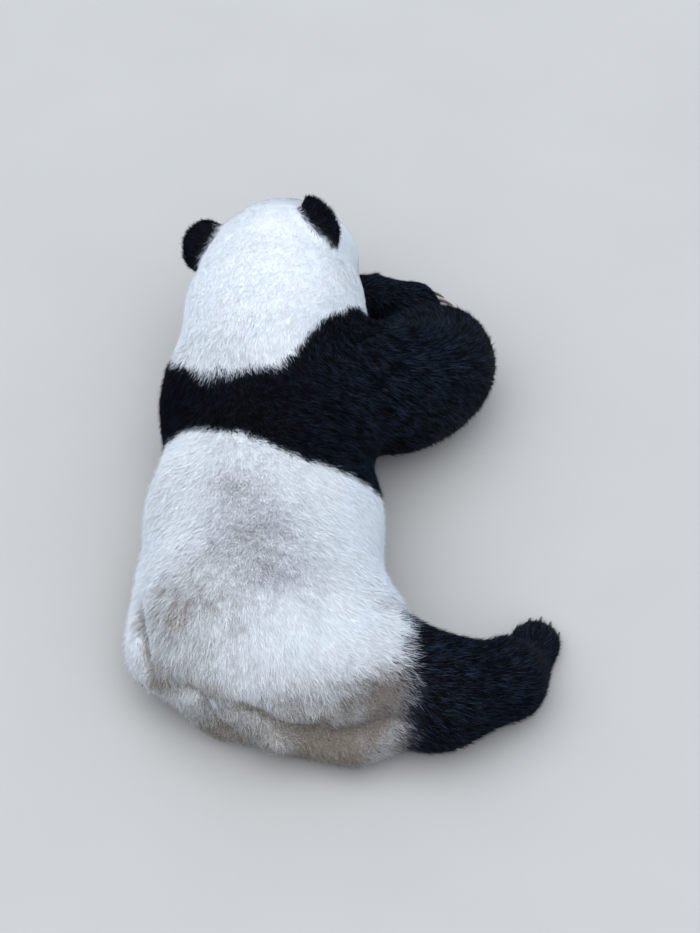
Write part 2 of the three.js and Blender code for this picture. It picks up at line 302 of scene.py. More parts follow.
def coat_depth(points, owners, net):
    """Depth of the coat over the skin, which thins out on the face and most on the muzzle."""
    on_face, on_muzzle = face_shares(points, owners)
    return net.smoothed(by_part(owners, 1), 8) * MM * (1 - 0.5 * on_face) * (1 - 0.35 * on_muzzle)


def refine(mesh, is_inside, *reach):
    """Splits each edge whose ends both lie where the function says, within the reach it is given."""
    bm = bmesh.new()
    bm.from_mesh(mesh)
    wanted = is_inside(np.array([v.co for v in bm.verts]), *reach)
    bm.verts.index_update()
    chosen = [e for e in bm.edges if wanted[e.verts[0].index] and wanted[e.verts[1].index]]
    bmesh.ops.subdivide_edges(bm, edges=chosen, cuts=1, use_grid_fill=True)
    bmesh.ops.triangulate(bm, faces=[f for f in bm.faces if len(f.verts) > 4])
    bm.to_mesh(mesh)
    bm.free()
    mesh.update()


# Where the face opens: each eye looks a little outwards, and its slit slants down and out.
SLIT_HALF = 10.5 * MM
SLIT_UP = 5.6 * MM
SLIT_DOWN = 4.8 * MM
LID = 1.5 * MM
LID_REACH = 24 * MM


def eye_frame(side):
    """Centre and axes of an eye in the head's frame: outwards along the slit, up, and the way it looks."""
    centre = EYES_IN_HEAD + np.array((side * EYE_X, 0, 0))
    look = unit(np.array((0.34 * side, 1.0, 0.03)))
    out = unit(np.array((side, -0.34, -0.42)))
    out = unit(out - (out @ look) * look)
    up = np.cross(look, out) * -side
    return centre, np.stack((out, up, look))


def slit_edge(out):
    """Heights of the upper and lower lid's edge at a place along the slit."""
    bow = np.sqrt(np.clip(1 - (out / SLIT_HALF) ** 2, 0, 1))
    return SLIT_UP * bow, -SLIT_DOWN * bow


def add_lids(points):
    """Draws the skin up round each eye into two lids, and leaves the slit between them open."""
    head = to_head(points)
    bare = np.full(len(points), np.inf)
    for side in (-1, 1):
        centre, axes = eye_frame(side)
        local = (head - centre) @ axes.T
        out, up, look = local.T
        reach = np.hypot(out, up)
        near = (reach < LID_REACH) & (look > -12 * MM)
        top, bottom = slit_edge(out)
        # Points close to the edge of the slit are moved onto it, so that it is a clean line.
        to_edge = np.where(up > 0, up - top, bottom - up)
        sideways = np.abs(out) - SLIT_HALF
        snap = near & (np.abs(to_edge) < 1.1 * MM) & (sideways < 0)
        up = np.where(snap, np.where(up > 0, top, bottom), up)
        inside = near & (to_edge < -1.1 * MM) & (sideways < 0)
        shell = EYE_RADIUS + LID
        brim = 9.5 * MM
        height = np.sqrt(np.maximum(shell**2 - np.minimum(reach, brim) ** 2, 0))
        height = height - 0.45 * np.maximum(reach - brim, 0)
        drawn = height + (look - height) * smooth_step(11 * MM, LID_REACH, reach)
        sunk = np.sqrt(np.maximum(EYE_RADIUS**2 - reach**2, 0)) - 4 * MM
        look = np.where(near, np.where(inside, sunk, drawn), look)
        moved = np.stack((out, up, look), axis=1) @ axes + centre
        head = np.where(near[:, None], moved, head)
        edge_gap = np.where(inside, 0, np.maximum(np.maximum(to_edge, 0), sideways))
        bare = np.where(near, np.minimum(bare, edge_gap), bare)
    return from_head(head), bare


# The line of the closed mouth in a side view of the head, from the middle of the lip to the corner, and the
# heights between which a groove runs from the nose down to it. Both are in the head's frame.
MOUTH_LINE = np.array([(0, 198, -80), (0, 176, -86), (0, 150, -85), (0, 126, -80), (0, 110, -74)]) * MM
GROOVE_TOP = -46 * MM
GROOVE_END = -80 * MM


def mouth_gap(points):
    """Distance to the line of the closed mouth and to the groove above it."""
    head = to_head(points)
    x, y, z = head.T
    beyond = np.maximum(z - GROOVE_TOP, 0) + np.maximum(GROOVE_END - z, 0) + np.maximum(150 * MM - y, 0)
    groove = np.hypot(x, beyond)
    head[:, 0] = 0
    lips, _ = distance_to_line(head, MOUTH_LINE)
    return lips, groove


# Folds in the hide. Each runs in a curve through a few places in a node's box, and has a depth and a half
# width in millimetres. A bulge has a depth below zero.
FOLDS = [
    # The crease that sags across the rump.
    ("trunk", [(0.28, 0.06, 0.46), (0.54, 0.02, 0.36), (0.72, 0.02, 0.28), (1.03, 0.04, 0.43)], 24, 22),
    # The edge of the roll of hide at the left of the rump.
    ("trunk", [(0.13, 0.11, 0.40), (0.24, 0.07, 0.46), (0.29, 0.06, 0.30), (0.42, 0.05, 0.14)], 17, 15),
    # Between the left thigh and the loin.
    ("trunk", [(0.00, 0.32, 0.48), (0.03, 0.21, 0.50), (0.08, 0.14, 0.33)], 17, 20),
    # In front of the right hip.
    ("trunk", [(0.85, 0.23, 0.68), (0.96, 0.26, 0.48), (0.98, 0.28, 0.28)], 5, 24),
    # The full hide below the crease.
    ("trunk", [(0.42, 0.02, 0.28), (0.66, 0.00, 0.17), (0.90, 0.02, 0.18)], -7, 26),
    # The hair that fills the notch at the right ankle.
    ("hindpaw_right", [(0.36, -0.14, 1.18), (0.30, 0.05, 1.00), (0.33, 0.16, 0.44)], -12, 26),
]
FOLD_STEPS = 28
FOLD_FADE = 0.18
DEEPEST_FOLD = 27 * MM


def curve_through(stops, steps):
    """Places along a smooth curve through all the stops (a Catmull-Rom spline)."""
    ends = 2 * stops[0] - stops[1], 2 * stops[-1] - stops[-2]
    around = np.concatenate((ends[:1], stops, ends[1:]))
    spans = len(stops) - 1
    t = np.linspace(0, spans, steps + 1)
    span = np.minimum(t.astype(int), spans - 1)
    t = (t - span)[:, None]
    before, start, end, after = (around[span + n] for n in range(4))
    bend = 2 * before - 5 * start + 4 * end - after
    twist = 3 * (start - end) + after - before
    return start + t * (end - before + t * (bend + t * twist)) / 2


def fold_depth(mesh):
    """How far the hide is drawn in at each point; where it stands out instead the value is below zero."""
    points = points_of(mesh)
    tree = tree_of(mesh)
    total = np.zeros(len(points))
    for node, stops, depth, half in FOLDS:
        course = curve_through(np.array([place_in(node, stop) for stop in stops]), FOLD_STEPS)
        on_skin = np.array([tree.find_nearest(place)[0] for place in course])
        for _ in range(6):
            on_skin[1:-1] = (on_skin[:-2] + 2 * on_skin[1:-1] + on_skin[2:]) / 4
        gap, along = distance_to_line(points, on_skin)
        fade = smooth_step(0, FOLD_FADE, along) * smooth_step(0, FOLD_FADE, 1 - along)
        total += fade * furrow(gap, depth * MM, half * MM)
    return np.minimum(total, DEEPEST_FOLD)


# The skin's net is made finer on the front of the face, then twice near the eyes and twice near the mouth.
FACE_FRONT = 62 * MM
MUZZLE_FRONT = 90 * MM
EYE_REFINED = (28 * MM, 21 * MM)
MOUTH_REFINED = (10 * MM, 7 * MM)
# No skin lies lower than this, and the coat over it thins out towards the floor below this height.
LOWEST_SKIN = 1.5 * MM
THIN_BELOW = 40 * MM


def on_face_front(points):
    return to_head(points)[:, 1] > FACE_FRONT


def near_eyes(points, reach):
    eyes = [from_head(eye_frame(side)[0]) for side in (-1, 1)]
    return np.min([np.linalg.norm(points - eye, axis=1) for eye in eyes], axis=0) < reach


def near_mouth(points, reach):
    return (to_head(points)[:, 1] > MUZZLE_FRONT) & (np.min(mouth_gap(points), axis=0) < reach)


def make_skin():
    mesh = outer_skin()
    points = points_of(mesh)
    owners = node_of_points(points)
    net = Net(mesh)
    points = net.smoothed(points, by_part(owners, 0))
    depth = coat_depth(points, owners, net)
    depth *= 0.25 + 0.75 * smooth_step(0, THIN_BELOW, points[:, 2])
    set_points(mesh, points)
    points = points - normals_of(mesh) * depth[:, None]
    points = net.smoothed(points, 2)
    points[:, 2] = np.maximum(points[:, 2], LOWEST_SKIN)
    set_points(mesh, points)
    folds = fold_depth(mesh)
    store(mesh, "coat_fold", folds)
    set_points(mesh, points - normals_of(mesh) * folds[:, None])

    refine(mesh, on_face_front)
    for reach in EYE_REFINED:
        refine(mesh, near_eyes, reach)
    for reach in MOUTH_REFINED:
        refine(mesh, near_mouth, reach)
    return mesh


# The skin behind the nose pad: its middle height in the head's frame, half width, half height and depth.
NOSE_BED_Z = -33 * MM
NOSE_BED_WIDE = 19 * MM
NOSE_BED_HIGH = 16 * MM
NOSE_BED_DEEP = 10 * MM


def nose_bed(points):
    """1 for skin that the nose pad covers: it is sunk behind the pad and bears no hair."""
    x, y, z = to_head(points).T
    reach = np.hypot(x / NOSE_BED_WIDE, (z - NOSE_BED_Z) / NOSE_BED_HIGH)
    return smooth_step(1.0, 0.7, reach) * (y > 150 * MM)


def sculpt_face(mesh):
    """Cuts the mouth and the bed of the nose, and draws the lids. Returns the distances to these features."""
    points = points_of(mesh)
    lips, groove = mouth_gap(points)
    cut = np.maximum(furrow(lips, 5 * MM, 3 * MM), furrow(groove, 2.5 * MM, 5 * MM))
    cut = cut + NOSE_BED_DEEP * nose_bed(points)
    points = points - normals_of(mesh) * cut[:, None]
    points, bare = add_lids(points)
    set_points(mesh, points)
    return bare, lips, groove


# ---- Markings ----
# The white nape ends in a V on the back; the black band behind it ends in a bow.
V_TIP = place_in("trunk", (0.28, 0.797, 1.0))[:2]
V_LEFT = 1.5
V_ROUND = 26 * MM
# To the right of its tip the edge of the V is level at first, and then runs forward past this x.
V_BEND = place_in("trunk", (0.545, 0, 0))[0]
V_RIGHT = 1.45
# The band's straight rear edge, and where it starts to slant away on the left and on the right.
BAND_REAR = -136 * MM
BAND_LEFT_SLANT = -75 * MM
BAND_RIGHT_STEP = (20 * MM, 100 * MM)
# Below these heights the band widens forward and back, down the sides.
BAND_WIDENS_AHEAD = 250 * MM
BAND_WIDENS_BEHIND = 200 * MM
# The right leg is black beyond this x, and the left one below this height.
LEG_EDGE = 108 * MM
THIGH_EDGE = 85 * MM
# How far the borders stray, and in what lumps.
RAGGED = 7 * MM
RAGGED_SIZE = 22 * MM
# A paler patch in the black coat of the outstretched heel: its middle and how far it spreads.
PALE_HEEL = place_in("hindleg_right", (0.93, 0.28, 0.48))
PALE_REACH = np.array((18, 40, 45)) * MM
PALE_SHARE = 0.2


def black_share(points, owners):
    """How black the coat is at each point, from 0 to 1, with borders as soft as the real ones."""
    x, y, z = points.T
    ragged = RAGGED * noise(points, RAGGED_SIZE, 5)
    aside = x - V_TIP[0]
    left_flank = V_LEFT * (np.hypot(aside, V_ROUND) - V_ROUND)
    right_flank = V_RIGHT * (x - V_BEND + np.hypot(x - V_BEND, V_ROUND)) / 2
    front = V_TIP[1] + np.where(aside > 0, right_flank, left_flank)
    # Low on the sides the band runs forward over the chest to meet the forelegs.
    front += 1.5 * np.maximum(BAND_WIDENS_AHEAD - z, 0)
    rear = BAND_REAR + 0.55 * np.maximum(BAND_LEFT_SLANT - x, 0)
    rear += 30 * MM * smooth_step(*BAND_RIGHT_STEP, x) + 0.30 * np.maximum(BAND_WIDENS_BEHIND - z, 0)
    near_tip = np.exp(-((aside / (80 * MM)) ** 2))
    ahead = (front - y + ragged) / (9 * MM + 22 * MM * near_tip)
    behind = (y - rear + ragged) / (13 * MM)
    band = smooth_step(-1, 1, np.minimum(ahead, behind))
    on_trunk = is_part(owners, "trunk") > 0
    share = np.where(on_trunk | (is_part(owners, "neck") > 0), band, 0)
    share = np.where(is_part(owners, "foreleg", "forepaw", "ear", "hindpaw") > 0, 1, share)
    hock = LEG_EDGE + 0.06 * (z - 150 * MM)
    right = smooth_step(-34 * MM, 40 * MM, x - hock + 1.6 * ragged)
    # The left thigh is white down to a curved edge over the foot.
    edge = THIGH_EDGE + 20 * MM * smooth_step(-0.45, -0.30, y) - 60 * MM * smooth_step(-0.48, -0.56, y)
    left = smooth_step(-16 * MM, 16 * MM, edge - z + 1.5 * ragged)
    share = np.where(is_part(owners, "hindleg") > 0, np.where(x > 0, right, left), share)
    on_hip = on_trunk & (y < -0.35)
    share = np.where(on_hip, right * smooth_step(-0.37, -0.43, y) * (x > 0.03), share)
    heel = np.exp(-np.sum(((points - PALE_HEEL) / PALE_REACH) ** 2, axis=1))
    return share - PALE_SHARE * heel


def eye_patch(points):
    """The teardrop patches round the eyes, which slant down and out."""
    head = to_head(points)
    inside = np.zeros(len(points))
    for side in (-1, 1):
        centre = np.array((side * 50, 112, 1)) * MM
        local = head - centre
        along = unit(np.array((side * 0.62, -0.25, -0.74)))
        across = unit(np.cross(along, (0, 1, 0)))
        down = local @ along
        wide = 25 - 4 * np.clip(down / (30 * MM), -1, 1)
        shape = np.hypot((down - 9 * MM) / (38 * MM), (local @ across) / (wide * MM))
        on_front = head[:, 1] > 60 * MM
        inside = np.maximum(inside, np.where(on_front, smooth_step(1.10, 0.93, shape), 0))
    return inside


# Dust in the white hair, and painted shade in one hollow: where each spot lies in the trunk's box, its reach
# in millimetres, how much it darkens the hair, and how warm that colour is.
DUST_AND_SHADE_SPOTS = [
    # Down the middle of the back.
    ((0.37, 0.49, 0.84), 60, 0.38, 0.4),
    ((0.44, 0.38, 0.86), 85, 0.26, 0.1),
    ((0.40, 0.31, 0.85), 100, 0.27, 0.3),
    ((0.55, 0.26, 0.87), 72, 0.36, 0.0),
    ((0.30, 0.17, 0.74), 100, 0.24, 0.8),
    # The left flank.
    ((0.11, 0.51, 0.62), 80, 0.15, 0.9),
    ((0.10, 0.28, 0.67), 80, 0.20, 1.0),
    ((0.17, 0.18, 0.64), 80, 0.40, 1.0),
    # Painted shade in the hollow behind the left thigh.
    ((0.08, 0.14, 0.40), 42, 1.00, 1.0),
    # The rump, from left to right.
    ((0.26, 0.08, 0.51), 60, 0.30, 1.0),
    ((0.32, 0.06, 0.23), 110, 0.62, 1.0),
    ((0.65, 0.02, 0.31), 110, 0.66, 0.9),
    ((0.71, 0.01, 0.15), 110, 0.88, 0.9),
    ((0.95, 0.06, 0.48), 75, 0.90, 0.6),
    ((0.99, 0.03, 0.29), 95, 1.00, 0.8),
    # The tip of the nape.
    ((0.33, 0.82, 0.84), 60, 0.16, 0.3),
]


def dust_and_shade_share(points):
    """How much dust and painted shade darken the white hair, and how warm that colour is."""
    _, y, z = points.T
    soil = np.zeros(len(points))
    warm = np.full(len(points), 0.02)
    total = np.full(len(points), 0.05)
    for shares, reach, amount, warmth in DUST_AND_SHADE_SPOTS:
        near = nearness(points, place_in("trunk", shares), reach * MM)
        soil = 1 - (1 - soil) * (1 - amount * near)
        warm += near * warmth
        total += near
    # Low on the body the hair is darker: dust, and painted shade where the hide turns down.
    low = 0.5 * smooth_step(0.15, 0.03, z) * (y < 0.1)
    soil = 1 - (1 - soil) * (1 - low)
    soil *= 1 + 0.35 * noise(points, 60 * MM, 11) + 0.25 * noise(points, 24 * MM, 12)
    soil += 0.015 * (1 + noise(points, 90 * MM, 13))
    return np.clip(soil, 0, 1), np.clip(warm / total, 0, 1)


# ---- Lie of the coat ----
# The hair of the face spreads from here, in the head's frame, and the hair of an ear from its root.
FACE_CROWN = np.array((0, 185, -22)) * MM
EAR_ROOT = np.array((94, -29, 64)) * MM
# Places in millimetres, the way the hair points there and how far each place is felt.
LIE = [
    ((-340, 200, 200), (0.5, -1.0, -0.3), 90),
    ((-200, 200, 360), (-0.1, -1.0, -0.1), 90),
    ((-60, 220, 350), (-0.55, -1.0, 0.0), 80),
    ((-330, -10, 220), (-0.6, -0.5, -0.8), 90),
    ((-230, -10, 320), (0.1, -1.0, 0.0), 60),
    ((-90, 0, 340), (0.8, -0.6, 0.0), 90),
    ((40, 20, 310), (1.0, -0.35, -0.2), 90),
    ((150, 60, 250), (1.0, -0.1, -0.5), 90),
    ((260, 200, 180), (0.1, 0.5, -1.0), 80),
    ((280, 340, 120), (-0.6, 0.8, -0.6), 80),
    ((120, 430, 110), (-1.0, 0.1, -0.4), 80),
    ((-200, -250, 340), (0.05, -1.0, 0.0), 120),
    ((-360, -250, 220), (-0.25, -0.8, -0.6), 110),
    ((0, -250, 270), (0.45, -0.9, -0.35), 90),
    ((60, -300, 150), (0.35, -0.7, -0.7), 90),
    ((-180, -500, 320), (0.1, -1.0, -0.3), 110),
    ((-370, -460, 200), (-0.1, -0.7, -0.7), 100),
    ((-180, -620, 170), (0.05, -0.5, -1.0), 90),
    ((20, -500, 280), (0.75, -0.7, -0.2), 90),
    ((60, -620, 160), (0.8, -0.4, -0.5), 90),
    ((200, -500, 220), (1.0, 0.1, -0.1), 80),
    ((220, -600, 130), (1.0, 0.1, -0.25), 80),
    ((330, -440, 120), (0.75, 0.75, -0.3), 80),
    ((360, -330, 70), (0.1, 1.0, -0.35), 80),
    ((-350, -460, 90), (0.0, 0.8, -0.6), 70),
    ((-345, -250, 70), (0.0, 1.0, -0.5), 80),
    ((-300, 260, 110), (0.2, 0.9, -0.5), 90),
    ((-150, 540, 100), (1.0, 0.45, -0.4), 90),
    ((100, 560, 70), (1.0, 0.0, -0.3), 90),
    ((-60, 400, 60), (-1.0, 0.2, -0.4), 90),
]

# Where the hair hangs or stands clear of the body: the place in a node's box, how far round it, and how much.
FRINGES = [
    ("foreleg_right", (0.36, 0.05, 0.27), 65, 0.7),
    ("foreleg_right", (0.54, 0.13, 0.25), 65, 0.7),
    ("foreleg_right", (0.70, 0.18, 0.36), 60, 0.6),
    ("foreleg_right", (0.94, 0.36, 0.34), 70, 0.4),
    ("trunk", (0.13, 0.74, 0.15), 90, 0.5),
    ("trunk", (0.89, 0.03, 0.15), 90, 0.4),
]


def lie_of(points, on_head, on_ear):
    """The direction in which the hair points, before it is laid on the skin."""
    total = np.zeros_like(points)
    for place, way, reach in LIE:
        apart = np.linalg.norm(points - np.array(place) * MM, axis=1) / (reach * MM)
        total += np.exp(-np.minimum(apart**2 / 2, 30))[:, None] * unit(np.array(way))
        total += 1e-4 / (1 + apart[:, None] ** 2) * unit(np.array(way))
    body = unit(total)
    head = to_head(points)
    sweep = unit(unit(head - FACE_CROWN) + np.array((0, -0.35, -0.1)))
    face = sweep @ HEAD_TURN.T
    ear_root = np.tile(EAR_ROOT, (len(points), 1))
    ear_root[:, 0] *= np.sign(head[:, 0])
    ear = unit(head - ear_root) @ HEAD_TURN.T
    share = on_head[:, None]
    mixed = unit(body * (1 - share) + face * share)
    return np.where(on_ear[:, None] > 0.5, ear, mixed)


# ---- Tufts ----
# A tuft is a thin pyramid: two corners and a ridge at its root, and its tip.
TUFT_TRIANGLES = np.array([(0, 2, 1), (0, 1, 3), (0, 3, 2), (1, 2, 3)])
GUARD_SHARE = 0.10
PATCH = 0.003
PATCH_CORNERS = np.array([(-0.5, -0.5), (0.5, -0.5), (0, -0.2), (0, 0.5)]) * PATCH
PIECE_TUFTS = 49000


class Region:
    """Part of the skin with its own unwrap, on which tufts can be planted."""

    def __init__(self, skin, faces):
        bm = bmesh.new()
        bm.from_mesh(skin)
        bm.faces.ensure_lookup_table()
        keep = set(faces.tolist())
        bmesh.ops.delete(bm, geom=[f for f in bm.faces if f.index not in keep], context="FACES")
        bmesh.ops.triangulate(bm, faces=bm.faces[:])
        mesh = mesh_from(bm, "region")
        part = add_object("region", mesh)
        unwrap(part, "OFBake")
        self.points = points_of(mesh)
        self.corners = read_whole(mesh.loops, "vertex_index").reshape(-1, 3)
        self.uv = read(mesh.uv_layers["OFBake"].uv, "vector", 2).reshape(-1, 3, 2)
        self.values = {}
        for layer in mesh.attributes:
            if layer.name.startswith("coat_"):
                self.values[layer.name] = stored(mesh, layer.name)
        a, b, c = (self.points[self.corners[:, n]] for n in range(3))
        self.area = np.linalg.norm(np.cross(b - a, c - a), axis=1) / 2
        bpy.data.objects.remove(part)


def unwrap(part, name):
    layer = part.data.uv_layers.new(name=name)
    part.data.uv_layers.active = layer
    layer.active_render = True
    bpy.context.view_layer.objects.active = part
    for other in bpy.context.selected_objects:
        other.select_set(False)
    part.select_set(True)
    bpy.ops.object.mode_set(mode="EDIT")
    bpy.ops.mesh.select_all(action="SELECT")
    bpy.ops.uv.smart_project(angle_limit=math.radians(66), island_margin=0.002)
    bpy.ops.object.mode_set(mode="OBJECT")
    part.select_set(False)


def plant(region, skin_tree, density, seed):
    """Tufts over a region: four points each, with the values that colour them and their places on the map."""
    rng = np.random.default_rng(seed)
    v = {name: column[region.corners] for name, column in region.values.items()}
    weight = region.area * v["coat_density"].mean(axis=1)
    count = int(weight.sum() * density)
    chosen = rng.choice(len(weight), count, p=weight / weight.sum())
    s, t = rng.random((2, count))
    over = s + t > 1
    s, t = np.where(over, 1 - s, s), np.where(over, 1 - t, t)
    shares = np.stack((1 - s - t, s, t), axis=1)

    def at_roots(corner_values):
        return np.einsum("nc,nc...->n...", shares, corner_values[chosen])

    roots = at_roots(region.points[region.corners])
    value = {name: at_roots(column) for name, column in v.items()}
    normal = unit(np.stack([value["coat_n" + axis] for axis in "xyz"], axis=1))
    way = np.stack([value["coat_d" + axis] for axis in "xyz"], axis=1)

    curl = value["coat_curl"][:, None]
    lean = 0.48 * np.stack([noise(roots, 10 * MM, seed + n) for n in (101, 102, 103)], axis=1)
    lean += 0.24 * np.stack([noise(roots, 36 * MM, seed + n) for n in (104, 105, 106)], axis=1)
    way = way + curl * (lean + 0.28 * rng.normal(size=(count, 3)))
    way = unit(way - np.sum(way * normal, axis=1, keepdims=True) * normal)
    across = np.cross(normal, way)

    length = value["coat_length"] * rng.uniform(0.65, 1.2, count)
    half = across * (value["coat_width"] * rng.uniform(0.7, 1.25, count) / 2)[:, None]
    fluff = 1 + 0.4 * noise(roots, 9 * MM, seed + 7)
    height = value["coat_depth"] * rng.uniform(0.5, 1.0, count) * np.clip(fluff, 0.5, 1.3)
    height *= 0.65 + 0.35 * np.minimum(value["coat_curl"], 1)
    # A few guard hairs stand clear of the coat and soften its outline.
    guard = rng.random(count) < GUARD_SHARE
    height = np.where(guard, value["coat_depth"] * rng.uniform(1.0, 1.5, count), height)
    tips = roots + way * length[:, None]
    laid = [skin_tree.find_nearest(p) for p in tips]
    ground = np.array([hit[0] for hit in laid])
    rise = np.array([hit[1] for hit in laid])
    free = tips + normal * height[:, None]
    tips = ground + rise * height[:, None]
    tips += (free - tips) * (value["coat_loose"] * rng.uniform(0.2, 1.0, count))[:, None]
    ridge = np.linalg.norm(half, axis=1)[:, None] * normal
    points = np.stack((roots - half - ridge, roots + half - ridge, roots + 0.3 * ridge, tips), axis=1)
    points[..., 2] = np.maximum(points[..., 2], 0.6 * MM)
    tilted = normal + 0.3 * curl * rng.normal(size=(count, 3))
    bends = (-0.35 * across, 0.35 * across, 0 * across, 0.3 * way)
    facing = np.stack([unit(tilted + bend) for bend in bends], axis=1)

    black = value["coat_black"]
    black = black + black * (1 - black) * noise(roots, 6 * MM, seed + 9)
    value["is_black"] = black > rng.uniform(0.12, 0.88, count)
    shade = 0.5 + 0.27 * rng.normal(size=count) + 0.27 * noise(roots, 9 * MM, seed + 8)
    value["shade"] = np.clip(shade, 0, 1)
    soil = value["coat_soil"]
    value["coat_soil"] = np.clip(soil + 2.4 * soil * (1 - soil) * (0.5 - value["shade"]), 0, 1)
    keep = value["coat_length"] > 2 * MM
    uv = at_roots(region.uv)
    return points[keep], facing[keep], {name: column[keep] for name, column in value.items()}, uv[keep]


def tuft_piece(name, points, facing, value, uv, material, slot):
    """One mesh of closed tufts. Each is a thin pyramid, and a small patch on the map."""
    count = len(points)
    triangles = (np.arange(count)[:, None, None] * 4 + TUFT_TRIANGLES).reshape(-1, 3)
    mesh = bpy.data.meshes.new(name)
    mesh.from_pydata(points.reshape(-1, 3), [], triangles)
    mesh.shade_smooth()
    mesh.normals_split_custom_set_from_vertices(facing.reshape(-1, 3))
    store(mesh, "along", np.tile((0.0, 0.0, 0.1, 1.0), count))
    for kind in ("shade", "coat_black", "coat_soil", "coat_warm", "coat_gleam"):
        store(mesh, kind.removeprefix("coat_"), np.repeat(value[kind], 4))
    spin = np.random.default_rng(len(name)).uniform(0, 2 * math.pi, count)
    turn = np.stack((np.cos(spin), -np.sin(spin), np.sin(spin), np.cos(spin)), axis=1).reshape(-1, 2, 2)
    patch = uv[:, None, :] + np.einsum("nij,kj->nki", turn, PATCH_CORNERS)
    on_map = np.clip(patch.reshape(-1, 2)[triangles.ravel()], 0, 1)
    mesh.uv_layers.new(name="OFBake").uv.foreach_set("vector", on_map.astype(np.float32).ravel())
    add_piece(name, mesh, material, slot)


# ---- Materials ----
def linear(level):
    """The light of a screen's level, both from 0 to 1."""
    return level / 12.92 if level <= 0.04045 else ((level + 0.055) / 1.055) ** 2.4


def rgb(red, green, blue):
    """A colour written as on a screen, 0 to 255, as the shader wants it."""
    return (*(linear(level / 255) for level in (red, green, blue)), 1.0)


WHITE = rgb(255, 255, 255)
# White hair: clean, with cool and with warm dust that also serves as painted shade, painted shade at its
# roots, a duller tuft, painted shade deep in the coat, and where it meets the black.
CLEAN_HAIR = rgb(243, 250, 255), rgb(251, 253, 254)
DUST_AND_SHADE_HAIR = rgb(126, 119, 130), rgb(130, 118, 99)
WHITE_ROOT_SHADE = rgb(243, 243, 245)
DULL_TUFT = rgb(246, 246, 248)
DEEP_COAT_SHADE = rgb(238, 238, 240)
GREY_BORDER = rgb(84, 88, 98)
# Black hair: blue-black and rusty, painted shade at its roots, where it meets the white, and its sheen.
BLACK_HAIR = rgb(3, 5, 11), rgb(9, 9, 11)
BLACK_ROOT_SHADE = rgb(140, 140, 140)
DARK_BORDER = rgb(70, 74, 84)
SHEEN = rgb(48, 61, 79)
# The skin under black hair and where it is bare, the eye, the nose pad with painted shade in its nostrils,
# and the claws.
DARK_SKIN = rgb(6, 8, 13)
BARE_SKIN = rgb(22, 19, 19)
EYE_RIM = rgb(14, 11, 11)
IRIS = rgb(17, 10, 7), rgb(33, 20, 12)
PUPIL = rgb(3, 3, 4)
NOSE_LEATHER = rgb(6, 5, 6), rgb(17, 15, 16)
NOSTRIL_SHADE = rgb(2, 2, 2)
HORN = rgb(48, 42, 38), rgb(150, 138, 118)
HORN_STREAK = rgb(66, 57, 49)


class Shader:
    """A node material under construction. finish gives the values of the surface's own sockets."""

    def __init__(self, name, finish):
        self.material = bpy.data.materials.new(name)
        self.material.use_nodes = True
        self.tree = self.material.node_tree
        self.surface = self.tree.nodes["Principled BSDF"]
        for socket, value in finish.items():
            self.surface.inputs[socket].default_value = value
        self.place = self.node("TexCoord", {}, "Object")

    def node(self, kind, inputs, output, **settings):
        """Adds a node and gives one of its outputs. An input is a value or another node's output."""
        made = self.tree.nodes.new("ShaderNode" + kind)
        for name, value in settings.items():
            setattr(made, name, value)
        for socket, value in inputs.items():
            if isinstance(value, bpy.types.NodeSocket):
                self.tree.links.new(value, made.inputs[socket])
            else:
                made.inputs[socket].default_value = value
        return made.outputs[output]

    def stored(self, name):
        return self.node("Attribute", {}, "Fac", attribute_name=name)

    def noise(self, scale, detail=3.0, roughness=0.5):
        inputs = {"Vector": self.place, "Scale": scale, "Detail": detail, "Roughness": roughness}
        return self.node("TexNoise", inputs, "Fac")

    def cells(self, scale):
        return self.node("TexVoronoi", {"Vector": self.place, "Scale": scale}, "Distance")

    def mix(self, share, first, second, how="MIX"):
        inputs = {"Factor": share, "A": first, "B": second}
        return self.node("Mix", inputs, "Result", data_type="RGBA", blend_type=how)

    def span(self, value, low, high, to_low=0.0, to_high=1.0):
        inputs = {"Value": value, "From Min": low, "From Max": high, "To Min": to_low, "To Max": to_high}
        return self.node("MapRange", inputs, "Result")

    def times(self, first, second):
        return self.node("Math", {0: first, 1: second}, "Value", operation="MULTIPLY", use_clamp=True)

    def bump(self, height, strength, distance):
        inputs = {"Strength": strength, "Distance": distance, "Height": height}
        self.tree.links.new(self.node("Bump", inputs, "Normal"), self.surface.inputs["Normal"])

    def colour(self, source):
        self.tree.links.new(source, self.surface.inputs["Base Color"])


def white_hair(shader, soil):
    """Cool where clean, grey-mauve to beige where dusty and where shade is painted, and grey where it meets
    the black.
    """
    clean = shader.mix(shader.noise(14), *CLEAN_HAIR)
    darkening_colour = shader.mix(shader.stored("warm"), *DUST_AND_SHADE_HAIR)
    darkened = shader.mix(soil, clean, darkening_colour)
    return shader.mix(shader.span(shader.stored("black"), 0.1, 0.9, 0.0, 0.85), darkened, GREY_BORDER)


def black_hair(shader):
    """Blue-black, rusty in places."""
    return shader.mix(shader.span(shader.noise(9), 0.45, 0.8), *BLACK_HAIR)


def coat_white_finish():
    """Dust lies deep in the coat, so that pale tips stand out on grey where it is dusty. The roots are
    painted a little darker, as shade deep in the coat.
    """
    shader = Shader("coat_white", {"Roughness": 0.75, "Specular IOR Level": 0.1})
    along = shader.stored("along")
    shade = shader.stored("shade")
    speckle = shader.span(shader.noise(300, 2), 0.3, 0.7, 0.8, 1.2)
    soil = shader.times(shader.stored("soil"), speckle)
    soil = shader.times(soil, shader.span(along, 0.0, 1.0, 1.15, 0.85))
    root_shade = shader.mix(along, WHITE_ROOT_SHADE, WHITE)
    each = shader.mix(shade, DULL_TUFT, WHITE)
    colour = shader.mix(1.0, white_hair(shader, soil), root_shade, "MULTIPLY")
    shader.colour(shader.mix(1.0, colour, each, "MULTIPLY"))
    return shader.material


